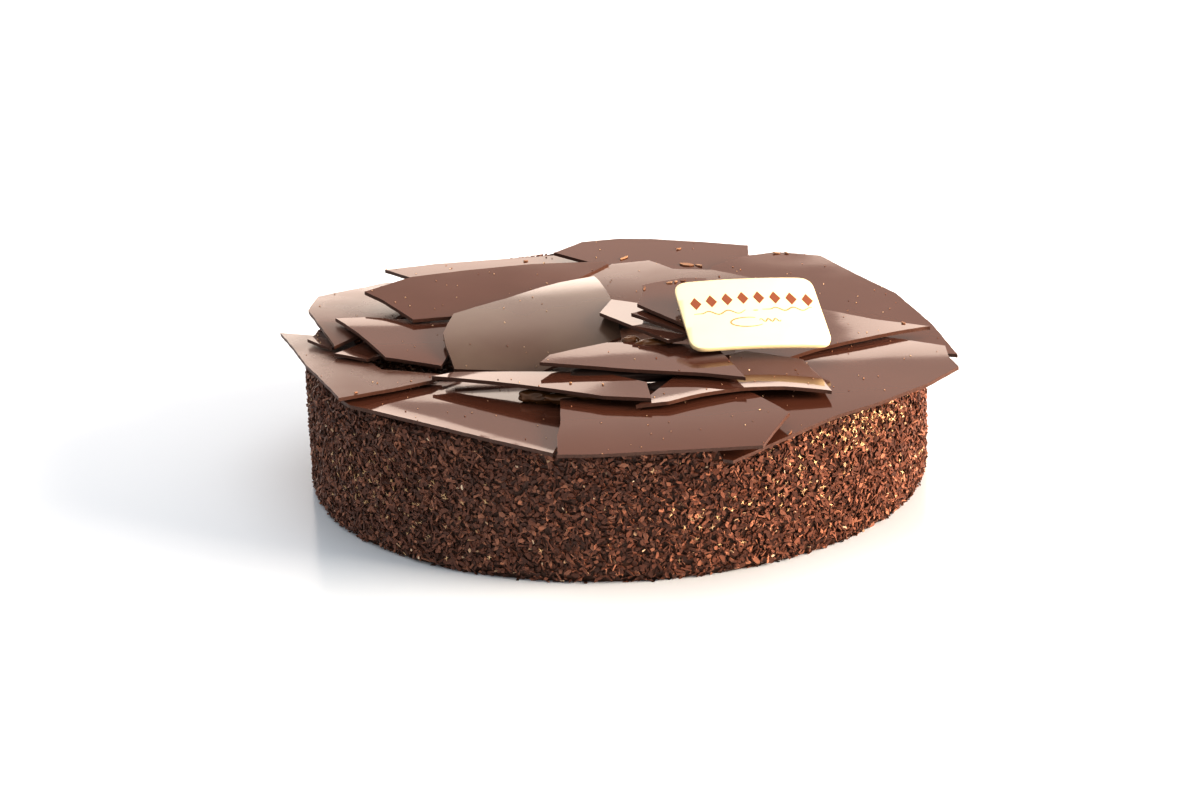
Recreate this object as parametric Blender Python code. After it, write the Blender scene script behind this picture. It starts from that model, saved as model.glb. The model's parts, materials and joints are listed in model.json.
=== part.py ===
"""Sachertorte: a round flake-coated cake, roofed with snapped shards of dark chocolate and a white tag."""
import math
import random
from typing import NamedTuple

import bmesh
import bpy
import numpy as np
from mathutils import Matrix, Vector

MM = 0.001

# Driving dimensions, in millimetres
CAKE_RADIUS = 101.0
CAKE_HEIGHT = 45.0
FOOT_INSET = 1.5
SHARD_THICKNESS = 1.3
SPLINTER_THICKNESS = 1.0
TAG_THICKNESS = 1.6
REST_GAP = 0.45
STRIP_WIDTH = 6.0

# The coat of flakes
COAT_SIDES = 150
COAT_ROWS = 12
COAT_BUMP = 0.8
RIM_RINGS = 3
RIM_RING_WIDTH = 5.0
RIM_BUMP = 0.3
CHIP_COUNT = 110
CHIP_SPACING = 10.5
CHIP_LENGTH = (3.6, 5.6)
CHIP_WIDTH = (1.8, 2.8)
CHIP_THICKNESS = 1.5
CHIP_TILT = math.radians(22)
CHIP_MARGIN = 4.0
SEED = 11

# The plan grid on which the pile's height is kept
PLAN_REACH = 130
PLAN_STEP = 1.0
EDGE_MARGIN = 0.8


class Shard(NamedTuple):
    """A snapped plate: its plan outline, how it leans, and how much it curls down along a heading."""
    name: str
    outline: list
    lean: tuple = (0.0, 0.0)
    curl: float = 0.0
    heading: float = 90.0
    thickness: float = SHARD_THICKNESS


# From the lowest shard to the highest: outlines in mm on the plan, -Y to the front.
# A lean is a rise per mm in X and in Y, a curl is in 1/mm, and a heading is in degrees from +X.
SHARDS = [
    Shard("shard_back_under", [(-92, 30), (-84, 50), (-64, 52), (-40, 46), (-34, 24), (-60, 12)]),
    Shard("shard_back_left",
          [(-79, 77), (-69, 66), (-66, 54), (-28, 50), (-6, 60), (-10, 86), (-19, 88), (-62, 82)],
          curl=0.001),
    Shard("shard_back",
          [(-20, 80), (10, 58), (45, 62), (48, 76), (48, 82), (33, 86), (14, 90), (3, 91), (-10, 89)],
          lean=(-0.01, 0.12), curl=0.001),
    Shard("shard_right_back",
          [(34, 58), (28, 34), (48, 2), (84, -28), (105, -36), (108, -37), (103, -10), (94, 21),
           (82, 43), (72, 63), (57, 69), (44, 66)],
          lean=(0.03, 0.05), curl=0.001, heading=45.0),
    Shard("shard_front_left",
          [(-86, -60), (-83, -66), (-59, -84), (-39, -99), (-20, -112), (-15, -88), (-20, -50), (-62, -44)],
          lean=(0.007, 0.022), curl=0.0024, heading=250.0),
    Shard("shard_right_front",
          [(104, -38), (104, -49), (106, -58), (95, -71), (79, -83), (65, -91), (48, -104), (33, -115),
           (30, -114), (24, -90), (48, -62), (58, -36), (85, -25)],
          lean=(0.0, 0.071), curl=0.003),
    Shard("shard_front",
          [(-18, -76), (-18, -87), (-18, -96), (-19, -104), (-19, -115), (-6, -116), (42, -116),
           (51, -97), (34, -68), (5, -58)],
          lean=(0.02, 0.08), curl=0.006),
    Shard("shard_left_point",
          [(-111, 16), (-99, -30), (-86, -66), (-70, -58), (-58, -51), (-55, -45), (-74, -39), (-79, -29),
           (-85, -5)],
          lean=(0.01, -0.02), curl=0.002, heading=135.0),
    Shard("splinter_left", [(-90, -25), (-79, -33), (-62, -18), (-58, -8), (-74, -5)],
          lean=(0.0, -0.03), thickness=SPLINTER_THICKNESS),
    Shard("splinter_left_back", [(-100, -7), (-95, -14), (-91, -18), (-84, 0), (-82, 12), (-90, 14)],
          lean=(0.0, -0.03), thickness=SPLINTER_THICKNESS),
    Shard("shard_left_arch",
          [(-99, 32), (-101, 14), (-97, 0), (-90, -21), (-72, 0), (-60, 24), (-62, 44), (-77, 58),
           (-84, 47)],
          lean=(0.0, -0.06), curl=0.004),
    Shard("shard_centre",
          [(-4, 56), (0, 65), (13, 67), (21, 53), (34, 49), (49, 36), (42, 20), (20, 5), (-12, 12),
           (-14, 40)],
          lean=(0.03, 0.03), curl=0.004),
    Shard("shard_left_curl",
          [(-91, -2), (-84, -15), (-73, -36), (-55, -42), (-50, -25), (-48, -4), (-72, -4), (-81, -1)],
          lean=(-0.02, 0.05), curl=0.006),
    Shard("shard_back_lean",
          [(-82, 13), (-76, 6), (-65, -11), (-34, -4), (-17, 17), (-1, 40), (-3, 43), (-27, 40), (-48, 34),
           (-67, 27)],
          lean=(-0.04, 0.06), curl=0.001),
    Shard("shard_right_curl",
          [(5, -90), (15, -90), (25, -85), (37, -81), (50, -79), (65, -80), (63, -69), (58, -54), (40, -50),
           (22, -60)],
          lean=(-0.04, 0.02), curl=0.004, heading=0.0),
    Shard("shard_front_strip",
          [(-58, -51), (-26, -72), (-5, -85), (10, -89), (9, -75), (-5, -63), (-30, -55), (-51, -48)],
          lean=(0.04, -0.02), curl=0.001),
    Shard("shard_right_strip",
          [(101, -21), (83, -14), (68, -5), (56, -12), (38, -35), (36, -48), (52, -49), (64, -41),
           (81, -32)],
          lean=(-0.01, 0.0), curl=0.001, heading=0.0),
    Shard("shard_centre_curl",
          [(-52, -14), (-55, -27), (-54, -34), (-51, -45), (-24, -45), (2, -28), (-1, -3), (-6, 22),
           (-18, 14), (-35, -2)],
          lean=(-0.03, 0.18), curl=0.01, heading=100.0),
    Shard("shard_front_top",
          [(-24, -59), (-21, -52), (-14, -48), (-3, -42), (8, -43), (23, -47), (32, -53), (39, -78),
           (25, -73), (4, -68)],
          lean=(0.0, 0.04), curl=0.002),
    Shard("shard_small_light", [(-1, -7), (-5, -21), (16, -51), (21, -49), (23, -46), (8, -12)],
          lean=(0.0, 0.04)),
    Shard("shard_small_lower", [(5, -31), (23, -48), (36, -45), (20, -22)], lean=(0.0, 0.1)),
    Shard("shard_small_upper",
          [(9, -13), (9, -19), (7, -28), (22, -46), (36, -40), (30, -9), (23, -8), (13, -11)],
          lean=(0.0, 0.1)),
]

# The white tag is a rounded oblong, bowed across its width, that leans back on the topmost shards.
TAG_CENTRE = (43.0, -41.5)
TAG_SIZE = (44.5, 34.0)
TAG_TURN = math.radians(8.0)
TAG_CORNER = 4.0
TAG_CORNER_STEPS = 3
TAG_LEAN = (-0.09, 0.32)
TAG_CURL = 0.003

DARK_CHOCOLATE = ("dark_chocolate", (0.075, 0.029, 0.018), 0.2)
CHOCOLATE_FLAKES = ("chocolate_flakes", (0.05, 0.02, 0.012), 0.55)
WHITE_CHOCOLATE = ("white_chocolate", (0.86, 0.80, 0.66), 0.3)


def clear_scene():
    for old in list(bpy.data.objects):
        bpy.data.objects.remove(old, do_unlink=True)


def material(name, colour, roughness):
    made = bpy.data.materials.get(name)
    if made is None:
        made = bpy.data.materials.new(name)
        made.use_nodes = True
        shader = made.node_tree.nodes["Principled BSDF"]
        shader.inputs["Base Color"].default_value = (*colour, 1.0)
        shader.inputs["Roughness"].default_value = roughness
        shader.inputs["Metallic"].default_value = 0.0
    return made


def add_object(name, mesh_source, finish):
    """Turns a bmesh into a named object with its material."""
    mesh = bpy.data.meshes.new(name)
    mesh_source.to_mesh(mesh)
    mesh_source.free()
    made = bpy.data.objects.new(name, mesh)
    bpy.context.scene.collection.objects.link(made)
    mesh.materials.append(material(*finish))
    return made


def curled_height(shard, x, y):
    """Height of a shard's top over its middle, at a distance x, y from it, for numbers or for arrays."""
    turn = math.radians(shard.heading)
    along = x * math.cos(turn) + y * math.sin(turn)
    return shard.lean[0] * x + shard.lean[1] * y - 0.5 * shard.curl * along * along


def steepness(shard, x, y):
    """How much longer the vertical way through the shard is than its thickness."""
    turn = math.radians(shard.heading)
    along = x * math.cos(turn) + y * math.sin(turn)
    slope_x = shard.lean[0] - shard.curl * along * math.cos(turn)
    slope_y = shard.lean[1] - shard.curl * along * math.sin(turn)
    return np.sqrt(1.0 + slope_x**2 + slope_y**2)


def middle_of(outline):
    xs, ys = zip(*outline)
    return round(sum(xs) / len(xs)), round(sum(ys) / len(ys))


class Pile:
    """Heights of what already lies on the cake, on a plan grid, so that the next shard can rest on it."""

    def __init__(self):
        steps = np.arange(-PLAN_REACH, PLAN_REACH + PLAN_STEP, PLAN_STEP)
        self.x, self.y = np.meshgrid(steps, steps)
        on_cake = np.hypot(self.x, self.y) < CAKE_RADIUS + COAT_BUMP
        self.height = np.where(on_cake, CAKE_HEIGHT + RIM_BUMP, -CAKE_HEIGHT)

    def under(self, outline):
        """Marks the grid points inside an outline or close to its edges."""
        inside = np.zeros(self.x.shape, bool)
        close = np.zeros(self.x.shape, bool)
        for (x0, y0), (x1, y1) in zip(outline, outline[1:] + outline[:1]):
            run, rise = x1 - x0, y1 - y0
            if rise:
                beside = self.x < x0 + (self.y - y0) * run / rise
                inside ^= ((y0 > self.y) != (y1 > self.y)) & beside
            part = ((self.x - x0) * run + (self.y - y0) * rise) / (run**2 + rise**2)
            part = np.clip(part, 0.0, 1.0)
            close |= np.hypot(self.x - x0 - part * run, self.y - y0 - part * rise) < EDGE_MARGIN
        return inside | close

    def rest(self, shard):
        """Lowest height of the shard's middle at which it clears the pile, which it then joins."""
        mark = self.under(shard.outline)
        middle = middle_of(shard.outline)
        away_x, away_y = self.x[mark] - middle[0], self.y[mark] - middle[1]
        top = curled_height(shard, away_x, away_y)
        underside = top - shard.thickness * steepness(shard, away_x, away_y)
        height = float(np.max(self.height[mark] - underside)) + REST_GAP
        self.height[mark] = np.maximum(self.height[mark], top + height)
        return height


def cut_into_strips(sheet, heading, width):
    """Cuts a flat sheet along the straight lines about which it curls."""
    across = Vector((math.cos(heading), math.sin(heading), 0.0))
    reaches = [corner.co.dot(across) for corner in sheet.verts]
    count = math.ceil((max(reaches) - min(reaches)) / width)
    for step in range(1, count):
        place = min(reaches) + (max(reaches) - min(reaches)) * step / count
        parts = sheet.verts[:] + sheet.edges[:] + sheet.faces[:]
        bmesh.ops.bisect_plane(sheet, geom=parts, plane_co=across * place, plane_no=across, dist=1e-6)


def add_shard(shard, pile, finish):
    """A flat outline, cut, curled and leaned, which rests on the pile and is thickened downwards."""
    middle = middle_of(shard.outline)
    height = pile.rest(shard)
    sheet = bmesh.new()
    corners = [sheet.verts.new(((x - middle[0]) * MM, (y - middle[1]) * MM, 0.0)) for x, y in shard.outline]
    sheet.faces.new(corners)
    if shard.curl:
        cut_into_strips(sheet, math.radians(shard.heading), STRIP_WIDTH * MM)
    for corner in sheet.verts:
        corner.co.z = curled_height(shard, corner.co.x / MM, corner.co.y / MM) * MM
    bmesh.ops.recalc_face_normals(sheet, faces=sheet.faces)
    if min(face.normal.z for face in sheet.faces) < 0:
        bmesh.ops.reverse_faces(sheet, faces=sheet.faces)
    made = add_object(shard.name, sheet, finish)
    made.location = (middle[0] * MM, middle[1] * MM, height * MM)
    thicken = made.modifiers.new("thickness", "SOLIDIFY")
    thicken.thickness = shard.thickness * MM
    thicken.offset = -1.0
    thicken.use_even_offset = True
    return made


def tag_outline():
    """A rounded oblong on the plan, turned a little about the upright."""
    points = []
    half_x, half_y = TAG_SIZE[0] / 2 - TAG_CORNER, TAG_SIZE[1] / 2 - TAG_CORNER
    for quarter, (side_x, side_y) in enumerate([(1, 1), (-1, 1), (-1, -1), (1, -1)]):
        for step in range(TAG_CORNER_STEPS + 1):
            angle = math.radians(90 * (quarter + step / TAG_CORNER_STEPS))
            point = Vector((side_x * half_x + TAG_CORNER * math.cos(angle),
                            side_y * half_y + TAG_CORNER * math.sin(angle)))
            point.rotate(Matrix.Rotation(TAG_TURN, 2))
            points.append((TAG_CENTRE[0] + point.x, TAG_CENTRE[1] + point.y))
    return points


def coat_body(chance):
    """The cake's core: a drum whose wall and rim are roughened, with a flat foot."""
    drum = bmesh.new()
    bmesh.ops.create_cone(drum, cap_ends=True, segments=COAT_SIDES, radius1=CAKE_RADIUS * MM,
                          radius2=CAKE_RADIUS * MM, depth=CAKE_HEIGHT * MM,
                          matrix=Matrix.Translation((0.0, 0.0, CAKE_HEIGHT * MM / 2)))
    uprights = [edge for edge in drum.edges if abs(edge.verts[0].co.z - edge.verts[1].co.z) > MM]
    bmesh.ops.subdivide_edges(drum, edges=uprights, cuts=COAT_ROWS - 1, use_grid_fill=True)
    lid = max(drum.faces, key=lambda face: face.calc_center_median().z)
    for _ in range(RIM_RINGS):
        bmesh.ops.inset_region(drum, faces=[lid], thickness=RIM_RING_WIDTH * MM)
    flat_radius = (CAKE_RADIUS - (RIM_RINGS - 0.5) * RIM_RING_WIDTH) * MM
    for corner in drum.verts:
        around = Vector((corner.co.x, corner.co.y, 0.0))
        outward = around.normalized()
        sideways = Vector((-outward.y, outward.x, 0.0))
        if corner.co.z < MM:
            corner.co -= outward * FOOT_INSET * MM
        elif corner.co.z > (CAKE_HEIGHT - 1) * MM:
            if around.length > flat_radius:
                corner.co.z += chance.uniform(-RIM_BUMP, RIM_BUMP) * MM
        else:
            corner.co += outward * chance.uniform(-COAT_BUMP, COAT_BUMP) * MM
            corner.co += sideways * chance.uniform(-COAT_BUMP, COAT_BUMP) * MM
            corner.co.z += chance.uniform(-COAT_BUMP, COAT_BUMP) * MM
    return add_object("cake_body", drum, CHOCOLATE_FLAKES)


def chip_places(chance):
    """Places on the wall, as an angle and a height, each clear of the ones before it."""
    places = []
    while len(places) < CHIP_COUNT:
        angle = chance.uniform(0.0, 2.0 * math.pi)
        height = chance.uniform(CHIP_MARGIN, CAKE_HEIGHT - CHIP_MARGIN)
        gaps = [math.hypot(CAKE_RADIUS * math.remainder(angle - other, 2.0 * math.pi), height - level)
                for other, level in places]
        if not gaps or min(gaps) > CHIP_SPACING:
            places.append((angle, height))
    return places


def add_chips(chance):
    """The biggest flakes of the coat: flat chips, half sunk in the wall and turned every way."""
    chips = bpy.data.collections.new("chips")
    for angle, height in chip_places(chance):
        chip = bmesh.new()
        bmesh.ops.create_cube(chip, size=MM)
        size = Vector((CHIP_THICKNESS, chance.uniform(*CHIP_WIDTH), chance.uniform(*CHIP_LENGTH)))
        stand = (Matrix.Rotation(angle, 4, "Z")
                 @ Matrix.Translation((CAKE_RADIUS * MM, 0.0, height * MM))
                 @ Matrix.Rotation(chance.uniform(0.0, math.pi), 4, "X")
                 @ Matrix.Rotation(chance.uniform(-CHIP_TILT, CHIP_TILT), 4, "Y"))
        bmesh.ops.scale(chip, vec=size, verts=chip.verts)
        bmesh.ops.transform(chip, matrix=stand, verts=chip.verts)
        mesh = bpy.data.meshes.new("chip")
        chip.to_mesh(mesh)
        chip.free()
        chips.objects.link(bpy.data.objects.new("chip", mesh))
    return chips


def fuse(body, chips):
    """Joins the chips to the body in one union, and keeps only the joined mesh."""
    bpy.context.scene.collection.children.link(chips)
    union = body.modifiers.new("coat", "BOOLEAN")
    union.operation = "UNION"
    union.operand_type = "COLLECTION"
    union.collection = chips
    union.solver = "EXACT"
    seen = body.evaluated_get(bpy.context.evaluated_depsgraph_get())
    joined = bpy.data.meshes.new_from_object(seen)
    body.modifiers.clear()
    body.data = joined
    for chip in list(chips.objects):
        bpy.data.objects.remove(chip, do_unlink=True)
    bpy.data.collections.remove(chips)


def build():
    clear_scene()
    chance = random.Random(SEED)
    fuse(coat_body(chance), add_chips(chance))
    pile = Pile()
    for shard in SHARDS:
        add_shard(shard, pile, DARK_CHOCOLATE)
    tag = Shard("white_tag", tag_outline(), TAG_LEAN, TAG_CURL, 0.0, TAG_THICKNESS)
    add_shard(tag, pile, WHITE_CHOCOLATE)


build()
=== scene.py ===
# %% [markdown]
# # A sachertorte under snapped chocolate
# The cake is a drum of sponge and ganache, coated all round with shaved dark chocolate. Big snapped plates
# of the same chocolate lie over it like roof slates, and a small ivory tag leans on the topmost ones. This
# lesson dresses the solid model of it. The solids come first, as a fixed frame, and every piece that is
# made below takes its place from them, so nothing has to be fitted by eye.

import json
import math
import random

import bmesh
import bpy
import numpy as np
from mathutils import Matrix, Vector, noise
from mathutils.bvhtree import BVHTree

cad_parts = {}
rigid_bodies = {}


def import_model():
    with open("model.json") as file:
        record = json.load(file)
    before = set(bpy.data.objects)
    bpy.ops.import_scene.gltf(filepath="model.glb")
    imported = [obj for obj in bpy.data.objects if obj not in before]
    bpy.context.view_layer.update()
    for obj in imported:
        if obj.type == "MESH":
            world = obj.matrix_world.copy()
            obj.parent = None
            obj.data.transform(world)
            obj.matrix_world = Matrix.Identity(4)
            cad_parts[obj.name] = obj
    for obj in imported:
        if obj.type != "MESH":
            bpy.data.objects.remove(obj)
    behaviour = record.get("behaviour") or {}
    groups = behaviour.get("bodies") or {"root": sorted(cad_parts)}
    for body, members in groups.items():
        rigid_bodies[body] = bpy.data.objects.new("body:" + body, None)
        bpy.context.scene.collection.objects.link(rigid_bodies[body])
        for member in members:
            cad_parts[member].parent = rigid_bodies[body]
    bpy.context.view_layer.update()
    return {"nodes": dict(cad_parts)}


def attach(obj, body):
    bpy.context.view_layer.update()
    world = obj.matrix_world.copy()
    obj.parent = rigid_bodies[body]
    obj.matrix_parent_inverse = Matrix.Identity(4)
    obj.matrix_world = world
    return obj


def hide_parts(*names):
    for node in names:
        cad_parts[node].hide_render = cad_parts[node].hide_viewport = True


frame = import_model()
MM = 0.001

# %% [markdown]
# ## The camera
# A long lens looks down on the cake at just under 20 degrees from about a metre away. It could be turned by
# Euler angles, but aiming it at a point and then rolling it keeps the two choices apart.

# %% Aim the camera
CAMERA_DISTANCE = 1.1
CAMERA_ELEVATION = math.radians(19.44)
CAMERA_TARGET = Vector((-0.00566, 0.0, 0.0235))
CAMERA_ROLL = math.radians(-2.05)
LENS_MM = 100.28

offset = Vector((0.0, -math.cos(CAMERA_ELEVATION), math.sin(CAMERA_ELEVATION))) * CAMERA_DISTANCE
camera = bpy.data.objects.new("camera", bpy.data.cameras.new("camera"))
bpy.context.scene.collection.objects.link(camera)
camera.data.lens = LENS_MM
camera.data.sensor_width = 36.0
camera.location = CAMERA_TARGET + offset
aim = (-offset).to_track_quat("-Z", "Y").to_matrix()
camera.rotation_euler = (aim @ Matrix.Rotation(CAMERA_ROLL, 3, "Z")).to_euler()
bpy.context.scene.camera = camera
print("camera at", [round(value, 3) for value in camera.location])

# %% [markdown]
# ## Colours and nodes
# Colours are written the way a paint program shows them, as sRGB hex, while the renderer works in linear
# light. One function turns the first into the second. A second one adds any node, sets its properties and
# fills or links its inputs, and serves the materials and the Geometry Nodes trees alike.

# %% Two small helpers


def linear(hex_colour):
    """An sRGB hex colour as linear RGBA."""
    parts = [int(hex_colour[place:place + 2], 16) / 255 for place in (1, 3, 5)]
    return [p / 12.92 if p <= 0.04045 else ((p + 0.055) / 1.055) ** 2.4 for p in parts] + [1.0]


def add_node(tree, kind, inputs=None, **settings):
    """Adds a node to a tree. An input is a value, or a socket to link from."""
    node = tree.nodes.new(kind)
    for name, value in settings.items():
        setattr(node, name, value)
    for name, value in (inputs or {}).items():
        if isinstance(value, bpy.types.NodeSocket):
            tree.links.new(value, node.inputs[name])
        else:
            node.inputs[name].default_value = value
    return node


# %% [markdown]
# ## Light and floor
# The cake stands on a white table with a soft gloss in a bright studio. Chocolate shows mostly what it
# mirrors: a strip of bright wall low behind the table makes the near-level plates flash white, and the room
# above it puts a grey-brown haze on the plates that lean to the viewer. A soft box overhead lights the top,
# and a warm lamp on the right lights the flakes on that side and throws the soft shadow to the left.
# Neither is mirrored, or the plates would burn out seen from the side. An image of a studio could be
# wrapped round the scene instead, but a plain sky and three lamps say the same with numbers that can be
# tuned one at a time.

# %% Sky, wall strip, soft box and key lamp
SKY_COLOUR = "#FFFFFF"
SKY_STRENGTH = 0.95
MIRRORED_SKY_COLOUR = "#FFEEE4"
# Degrees above the horizon, and how brightly a mirror image glows there.
MIRRORED_SKY_GLOWS = [(20, 1.3), (31, 1.95), (45, 1.95), (60, 0.6), (72, 0.3)]
WALL_DISTANCE = 2.6
WALL_TOP = 1.0
WALL_WIDTH = 7.0
WALL_GLOW = 2.2
OVERHEAD_PLACE = Vector((0.0, -0.2, 1.3))
OVERHEAD_SIZE = (1.3, 0.8)
OVERHEAD_GLOW = 1.8
KEY_PLACE = Vector((1.66, -0.42, 0.45))
KEY_SIZE = 1.1
KEY_GLOW = 37.0
CAKE_MIDDLE = Vector((0.0, 0.0, 0.03))


def sky():
    """An even light from all round. In mirror images it is warmer, and its glow changes with the height."""
    world = bpy.data.worlds.new("studio")
    world.use_nodes = True
    tree = world.node_tree
    mirrored = add_node(tree, "ShaderNodeLightPath").outputs["Is Glossy Ray"]
    colour = add_node(tree, "ShaderNodeMix",
                      {"Factor": mirrored, 6: linear(SKY_COLOUR), 7: linear(MIRRORED_SKY_COLOUR)},
                      data_type="RGBA")
    towards = add_node(tree, "ShaderNodeTexCoord").outputs["Generated"]
    height = add_node(tree, "ShaderNodeSeparateXYZ", {"Vector": towards}).outputs["Z"]
    glow = add_node(tree, "ShaderNodeValToRGB", {"Fac": height})
    stops = glow.color_ramp.elements
    for place, (degrees, value) in enumerate(MIRRORED_SKY_GLOWS):
        stop = stops[place] if place < 2 else stops.new(1.0)
        stop.position = math.sin(math.radians(degrees))
        stop.color = (value, value, value, 1.0)
    strength = add_node(tree, "ShaderNodeMix",
                        {"Factor": mirrored, 2: SKY_STRENGTH, 3: glow.outputs["Color"]}, data_type="FLOAT")
    background = tree.nodes["Background"]
    tree.links.new(colour.outputs[2], background.inputs["Color"])
    tree.links.new(strength.outputs[0], background.inputs["Strength"])
    bpy.context.scene.world = world


def lamp(name, place, size, glow, colour):
    """A soft box that faces the cake: a rectangle that glows so many times as bright as white paper."""
    data = bpy.data.lights.new(name, "AREA")
    data.shape = "RECTANGLE"
    data.size, data.size_y = size
    data.energy = glow * math.pi * size[0] * size[1]
    data.color = linear(colour)[:3]
    made = bpy.data.objects.new(name, data)
    made.location = place
    made.rotation_euler = (CAKE_MIDDLE - Vector(place)).to_track_quat("-Z", "Y").to_euler()
    bpy.context.scene.collection.objects.link(made)
    print(name, "lamp:", round(data.energy, 1), "W")
    return made


sky()
wall = lamp("wall_strip", (0.0, WALL_DISTANCE, WALL_TOP / 2), (WALL_WIDTH, WALL_TOP), WALL_GLOW, "#FFF0E2")
wall.visible_diffuse = False
overhead = lamp("overhead", OVERHEAD_PLACE, OVERHEAD_SIZE, OVERHEAD_GLOW, "#FFFFFF")
overhead.visible_glossy = False
key = lamp("key", KEY_PLACE, (KEY_SIZE, KEY_SIZE), KEY_GLOW, "#FFECD7")
key.visible_glossy = False


# %% The table
FLOOR_SIZE = 8.0
TABLE_CLOUDS = 1000.0 / 3.0


def grain(size_mm):
    """The scale of a noise whose features are about this wide."""
    return 1.0 / (size_mm * MM)


def new_finish(name):
    """A material with its tree, its shader and a socket of Object coordinates."""
    made = bpy.data.materials.new(name)
    made.use_nodes = True
    tree = made.node_tree
    place = add_node(tree, "ShaderNodeTexCoord").outputs["Object"]
    return made, tree, tree.nodes["Principled BSDF"], place


def table_top():
    """A white table with a soft gloss, as large as the camera can see."""
    finish, tree, shader, place = new_finish("white_table")
    clouds = add_node(tree, "ShaderNodeTexNoise", {"Vector": place, "Scale": grain(TABLE_CLOUDS)})
    shade = add_node(tree, "ShaderNodeMapRange",
                     {"Value": clouds.outputs["Fac"], "To Min": 0.16, "To Max": 0.2})
    tree.links.new(shade.outputs["Result"], shader.inputs["Roughness"])
    shader.inputs["Base Color"].default_value = linear("#CFD5DB")
    shader.inputs["Specular IOR Level"].default_value = 0.12
    sheet = bmesh.new()
    bmesh.ops.create_grid(sheet, x_segments=2, y_segments=2, size=FLOOR_SIZE / 2)
    mesh = bpy.data.meshes.new("table")
    sheet.to_mesh(mesh)
    sheet.free()
    mesh.materials.append(finish)
    made = bpy.data.objects.new("table", mesh)
    bpy.context.scene.collection.objects.link(made)
    return made


table_top()
print("table of", FLOOR_SIZE, "m")

# %% [markdown]
# ## Developing the picture
# The photograph has strong contrast: its whites are blown out and its browns are deep. The plain display
# transform with a gamma below one does that, where the default film-like one would grey the whites.

# %% Set the display
PRINT_GAMMA = 0.77
view = bpy.context.scene.view_settings
view.view_transform = "Standard"
view.look = "None"
view.gamma = PRINT_GAMMA
print("display gamma", PRINT_GAMMA)

# %% [markdown]
# ## Chocolate that set against a film
# The plates are tempered dark couverture, spread thin on acetate and snapped when it had set. The side that
# lay on the film is as smooth as glass: the eye sees deep brown under a clear mirror. No two plates set
# quite alike. A plate that met air is satin, one that was wiped or grew dull mirrors less, and the curled
# one clouded over where its film lifted early. One shader makes them all, and its roughness and mirror
# strength tell them apart. A soft noise a few centimetres wide drives the roughness and a slight change of
# brown, and a fine one dents it.

# %% Dark chocolate


def mottle(tree, shader, place, size_mm, detail, tones, relief_mm=0.0, strength=1.0):
    """Blends two tones by a noise of that size, lets it stand out as relief, and returns it."""
    clouds = add_node(tree, "ShaderNodeTexNoise",
                      {"Vector": place, "Scale": grain(size_mm), "Detail": detail})
    cloud = clouds.outputs["Fac"]
    blend = add_node(tree, "ShaderNodeMix", {"Factor": cloud, 6: linear(tones[0]), 7: linear(tones[1])},
                     data_type="RGBA")
    tree.links.new(blend.outputs[2], shader.inputs["Base Color"])
    if relief_mm:
        relief = add_node(tree, "ShaderNodeBump",
                          {"Height": cloud, "Distance": relief_mm * MM, "Strength": strength})
        tree.links.new(relief.outputs["Normal"], shader.inputs["Normal"])
    return cloud


def poured_chocolate(name, tones, smooth, mirror=1.47):
    """Tempered couverture: a deep brown under a mirror that is more or less clouded."""
    made, tree, shader, place = new_finish(name)
    clouds = mottle(tree, shader, place, 26.0, 3.0, tones)
    haze = add_node(tree, "ShaderNodeMapRange",
                    {"Value": clouds, "From Min": 0.35, "From Max": 0.7,
                     "To Min": smooth[0], "To Max": smooth[1]})
    tree.links.new(haze.outputs["Result"], shader.inputs["Roughness"])
    fine = add_node(tree, "ShaderNodeTexNoise", {"Vector": place, "Scale": grain(1.2), "Detail": 2.0})
    dents = add_node(tree, "ShaderNodeBump",
                     {"Height": fine.outputs["Fac"], "Distance": 0.006 * MM, "Strength": 0.5})
    tree.links.new(dents.outputs["Normal"], shader.inputs["Normal"])
    shader.inputs["IOR"].default_value = mirror
    return made


def snapped_chocolate():
    """A fresh break in couverture: dull, grainy and redder than the gloss."""
    made, tree, shader, place = new_finish("snapped_couverture_edge")
    mottle(tree, shader, place, 0.7, 4.0, ("#38241C", "#624539"), 0.08, 0.8)
    shader.inputs["Roughness"].default_value = 0.5
    shader.inputs["IOR"].default_value = 1.47
    return made


# %% The finishes of the plates
GLOSS = poured_chocolate("dark_couverture_set_on_film", ("#4D2D21", "#573528"), (0.05, 0.1))
SATIN = poured_chocolate("dark_couverture_set_in_air", ("#4C3025", "#573A2E"), (0.24, 0.34), 1.38)
DEEP = poured_chocolate("dark_couverture_wiped_clean", ("#502E21", "#5A3629"), (0.05, 0.09), 1.36)
DULL = poured_chocolate("dark_couverture_grown_dull", ("#4D2D21", "#573528"), (0.1, 0.16), 1.24)
CLOUDED = poured_chocolate("dark_couverture_lifted_early", ("#492F26", "#625448"), (0.16, 0.27), 1.85)
GLASSY = poured_chocolate("dark_couverture_set_on_glass", ("#4D2D21", "#573528"), (0.03, 0.06), 1.9)
SNAP = snapped_chocolate()
print("finishes:", [finish.name for finish in (GLOSS, SATIN, DEEP, DULL, CLOUDED, GLASSY, SNAP)])

# %% [markdown]
# ## Helpers for Geometry Nodes
# A tree is built once, with a named input for each size, and run on as many objects as need it. The
# modifier that runs it takes its values by each input's identifier. The result is turned into a plain mesh
# at once, so nothing live is left on the piece.

# %% Build a tree and run it


def new_tree(name, sizes):
    """A Geometry Nodes tree with a geometry input, the named inputs, and one output."""
    tree = bpy.data.node_groups.new(name, "GeometryNodeTree")
    tree.interface.new_socket("Geometry", in_out="INPUT", socket_type="NodeSocketGeometry")
    for label, kind in sizes.items():
        tree.interface.new_socket(label, in_out="INPUT", socket_type="NodeSocket" + kind)
    tree.interface.new_socket("Geometry", in_out="OUTPUT", socket_type="NodeSocketGeometry")
    return tree, add_node(tree, "NodeGroupInput").outputs


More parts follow.
